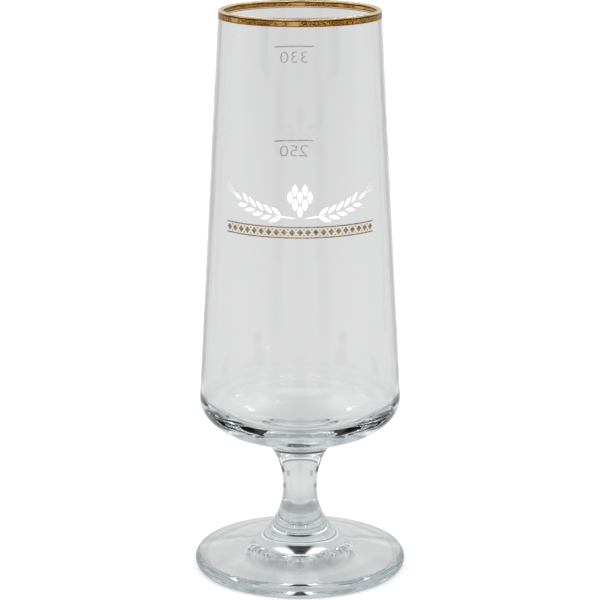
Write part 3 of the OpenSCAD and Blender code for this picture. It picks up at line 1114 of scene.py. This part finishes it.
def make_world(sizes):
    """White to the camera, even light on matt things, and a pale room seen in glass and metal.

    In that room stand windows, lights and dark cards, which draw the glass's lines."""
    world = bpy.data.worlds.new("studio")
    bpy.context.scene.world = world
    world.use_nodes = True
    tree = world.node_tree
    tree.nodes.clear()
    way = add(tree, "ShaderNodeTexCoord", take="Generated")
    rise = calc(tree, "ARCSINE", split(tree, way)[2])
    grey = sizes.backdrop_grey
    shade = painted(tree, ROOM_PARTS, way, rise, DEGREE, ROOM_SOFTNESS, grey)
    dark = soft_step(tree, shade, grey, 0.0)
    tint = blend(tree, dark, WHITE, (*sizes.room_tint, 1), "RGBA")
    seen, even, white = [
        add(tree, "ShaderNodeBackground", Color=tone, Strength=strength)
        for tone, strength in ((tint, shade), (WHITE, sizes.even_light), (WHITE, 1.0))
    ]
    lit = by_ray(tree, add(tree, "ShaderNodeLightPath", take="Is Diffuse Ray"), seen, even)
    mixed = by_ray(tree, add(tree, "ShaderNodeLightPath", take="Is Camera Ray"), lit, white)
    feed(tree, tree.nodes.new("ShaderNodeOutputWorld").inputs["Surface"], mixed)


def floor_material(sizes):
    """A pale floor: white to the camera but for the glass's shadow, and grey in glass and metal. In
    glass and metal it shows a painted shadow under the stem and a painted pool of light beside the
    glass.
    """
    material = bpy.data.materials.new("pale_floor")
    material.use_nodes = True
    tree = material.node_tree
    tree.nodes.clear()
    matt = add(tree, "ShaderNodeBsdfDiffuse", Color=(*[sizes.floor_paleness] * 3, 1))
    glow = add(tree, "ShaderNodeEmission", Strength=sizes.floor_glow)
    lit = add(tree, "ShaderNodeAddShader", matt, glow)
    place = add(tree, "ShaderNodeTexCoord", take="Object")
    away = add(tree, "ShaderNodeVectorMath", place, operation="LENGTH", take="Value")
    # A painted pool of light: the floor beside the glass is paler in glass and metal, and plain far
    # away
    painted_pool = soft_step(tree, away, *PAINTED_POOL_STARTS) * soft_step(tree, away, *PAINTED_POOL_ENDS)
    grey_with_painted_pool = calc(tree, "MULTIPLY_ADD", painted_pool, sizes.floor_painted_pool, sizes.backdrop_grey)
    # The floor parts hold a painted shadow under the stem
    shade = painted(tree, FLOOR_PARTS, place, away, MM, FLOOR_SOFTNESS, grey_with_painted_pool)
    grey = add(tree, "ShaderNodeEmission", Strength=shade)
    glossy, transmitted, camera = [
        add(tree, "ShaderNodeLightPath", take=f"Is {kind} Ray")
        for kind in ("Glossy", "Transmission", "Camera")
    ]
    plain = by_ray(tree, camera, matt, lit)
    mixed = by_ray(tree, calc(tree, "MAXIMUM", glossy, transmitted), plain, grey)
    feed(tree, tree.nodes.new("ShaderNodeOutputMaterial").inputs["Surface"], mixed)
    return material


def make_floor(sizes):
    """A round floor just under the foot."""
    mesh = bpy.data.meshes.new("floor")
    half = sizes.floor_width / 2
    ring = [direction(math.tau * i / FLOOR_CORNERS) * half for i in range(FLOOR_CORNERS)]
    mesh.from_pydata([(p.x, p.y, -sizes.floor_gap) for p in ring], [], [range(FLOOR_CORNERS)])
    mesh.materials.append(floor_material(sizes))
    floor = linked("floor", mesh)


def make_softbox(name, sizes, bearing):
    """A soft box beside the camera, aimed at the glass. Its bearing runs from +Y to +X."""
    lamp = bpy.data.lights.new(name, "AREA")
    lamp.shape = "RECTANGLE"
    lamp.size = sizes.softbox_width
    lamp.size_y = sizes.softbox_height
    lamp.energy = sizes.softbox_power
    box = linked(name, lamp)
    target = Vector((0, 0, sizes.softbox_aim))
    flat = Vector((math.sin(bearing), math.cos(bearing), 0)) * math.cos(sizes.softbox_rise)
    way = flat + Vector((0, 0, math.sin(sizes.softbox_rise)))
    box.location = target + sizes.softbox_distance * way
    box.rotation_euler = (box.location - target).to_track_quat("Z", "Y").to_euler()
    box.visible_glossy = False
    box.visible_transmission = False


class BEERGLASS_OT_stage(bpy.types.Operator):
    """Adds the camera, the floor, the lights and the surroundings"""

    bl_idname = "beer_glass.stage"
    bl_label = "Make Stage"

    def execute(self, context):
        sizes = context.scene.beer_glass_stage
        make_camera(sizes)
        context.scene.view_settings.view_transform = "Standard"
        for kind in ("max_bounces", "transmission_bounces", "glossy_bounces"):
            setattr(context.scene.cycles, kind, LIGHT_TURNS)
        make_world(sizes)
        make_floor(sizes)
        make_softbox("softbox_right", sizes, sizes.softbox_bearing)
        make_softbox("softbox_left", sizes, -sizes.softbox_bearing)
        return {"FINISHED"}


class BEERGLASS_OT_glass(bpy.types.Operator):
    """Makes bowl, stem and foot as the one clear body that they are once joined"""

    bl_idname = "beer_glass.glass"
    bl_label = "Make Glass"

    def execute(self, context):
        sizes = context.scene.beer_glass_sizes
        upper, *underside = bowl_outline(sizes, Wall(context.scene))
        lower = foot_outline(sizes) + stem_outline(sizes, *underside)
        glass = revolve("glass_body", tidy(lower + upper), sizes.segments, clear_glass())
        settle(glass, "clear_glass", "bowl", "stem", "foot")
        return {"FINISHED"}


class BEERGLASS_OT_gilding(bpy.types.Operator):
    """Makes the gold over the lip"""

    bl_idname = "beer_glass.gilding"
    bl_label = "Gild Rim"

    def execute(self, context):
        gilding = context.scene.beer_glass_gilding
        wall = Wall(context.scene)
        lip, lean, out = wall.lip, wall.lean, wall.out
        inner, outer = wall.lip_round - gilding.bond, wall.lip_round + gilding.thickness
        middle, end_round = (outer + inner) / 2, (outer - inner) / 2
        drop, side = wall.lip_round + end_round, end_round * out
        outside_end = lip + middle * out + (gilding.band - drop) * wall.down
        inside_end = lip - middle * out + (gilding.band_inside - drop) * wall.down
        points = arc(lip, inner, lean + math.pi, lean, GOLD_STEP)
        points += straight(lip + inner * out, outside_end - side, ROWS["gold"])
        points += arc(outside_end, end_round, lean - math.pi, lean, END_STEP)
        points += straight(outside_end + side, lip + outer * out, ROWS["gold"])
        points += arc(lip, outer, lean, lean + math.pi, GOLD_STEP)
        points += straight(lip - outer * out, inside_end - side, ROWS["gold inside"])
        points += arc(inside_end, end_round, lean - math.pi, lean, END_STEP)
        points += straight(inside_end + side, lip - inner * out, ROWS["gold inside"])
        points.append(points[0].copy())
        sizes = context.scene.beer_glass_sizes
        piece = revolve("gilded_rim", points, sizes.segments, fired_gold())
        settle(piece, "fired_gold", "rim_gilding")
        return {"FINISHED"}


class BEERGLASS_OT_fill_marks(bpy.types.Operator):
    """Prints the two fill lines and their plain numbers on the back of the wall"""

    bl_idname = "beer_glass.fill_marks"
    bl_label = "Print Fill Marks"

    def execute(self, context):
        sizes = context.scene.beer_glass_marks
        tree, material = tree_named("Fill Mark", mark_tree), grey_enamel()
        for name, node, number in (
            ("upper_marking", "upper_fill_line", sizes.upper_number),
            ("lower_marking", "lower_fill_line", sizes.lower_number),
        ):
            low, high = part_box(node)
            helper = number_object(number, sizes.number_height, sizes.number_wide)
            height, middle = (low[2] + high[2]) / 2, BACK + sizes.turn
            piece = print_on_wall(
                name, tree, sizes, middle, Number=helper, Height=height, Material=material
            )
            bpy.data.objects.remove(helper)
            settle(piece, "grey_enamel", node)
        return {"FINISHED"}


class BEERGLASS_OT_ornament(bpy.types.Operator):
    """Prints the ears and the hop cone in white enamel"""

    bl_idname = "beer_glass.ornament"
    bl_label = "Print Ears and Cone"

    def execute(self, context):
        sizes, tree = context.scene.beer_glass_ornament, tree_named("Ears and Cone", ornament_tree)
        piece = print_on_wall("white_ears_and_cone", tree, sizes, FRONT, Material=white_enamel())
        settle(piece, "white_enamel", "white_ornament")
        return {"FINISHED"}


class BEERGLASS_OT_border(bpy.types.Operator):
    """Prints the gold border under the ears"""

    bl_idname = "beer_glass.border"
    bl_label = "Print Gold Border"

    def execute(self, context):
        sizes, tree = context.scene.beer_glass_border, tree_named("Lozenge Border", border_tree)
        piece = print_on_wall("gold_border", tree, sizes, FRONT, Material=printed_gold())
        settle(piece, "fired_gold", "gold_ornament")
        return {"FINISHED"}


class BEERGLASS_PT_parts(bpy.types.Panel):
    """The pieces of the glass, in the sidebar"""

    bl_label = "Beer Glass"
    bl_idname = "BEERGLASS_PT_parts"
    bl_space_type = "VIEW_3D"
    bl_region_type = "UI"
    bl_category = "Beer Glass"

    def draw(self, context):
        for operator in OPERATORS:
            self.layout.operator(operator.bl_idname)


OPERATORS = (
    BEERGLASS_OT_stage,
    BEERGLASS_OT_glass,
    BEERGLASS_OT_gilding,
    BEERGLASS_OT_fill_marks,
    BEERGLASS_OT_ornament,
    BEERGLASS_OT_border,
)
SETTINGS = {
    "beer_glass_sizes": GlassSizes,
    "beer_glass_gilding": GildingSizes,
    "beer_glass_marks": MarkSizes,
    "beer_glass_ornament": OrnamentSizes,
    "beer_glass_border": BorderSizes,
    "beer_glass_stage": StageSizes,
}
CLASSES = (*SETTINGS.values(), *OPERATORS, BEERGLASS_PT_parts)


def register():
    """Adds the classes and their settings to Blender."""
    for item in CLASSES:
        bpy.utils.register_class(item)
    for name, group in SETTINGS.items():
        setattr(bpy.types.Scene, name, bpy.props.PointerProperty(type=group))


def unregister():
    """Takes the classes and their settings out again."""
    for name in SETTINGS:
        delattr(bpy.types.Scene, name)
    for item in reversed(CLASSES):
        bpy.utils.unregister_class(item)


def main():
    """Makes the stage and every piece."""
    register()
    bpy.ops.beer_glass.stage()
    bpy.ops.beer_glass.glass()
    bpy.ops.beer_glass.gilding()
    bpy.ops.beer_glass.fill_marks()
    bpy.ops.beer_glass.ornament()
    bpy.ops.beer_glass.border()


if __name__ == "__main__":
    main()
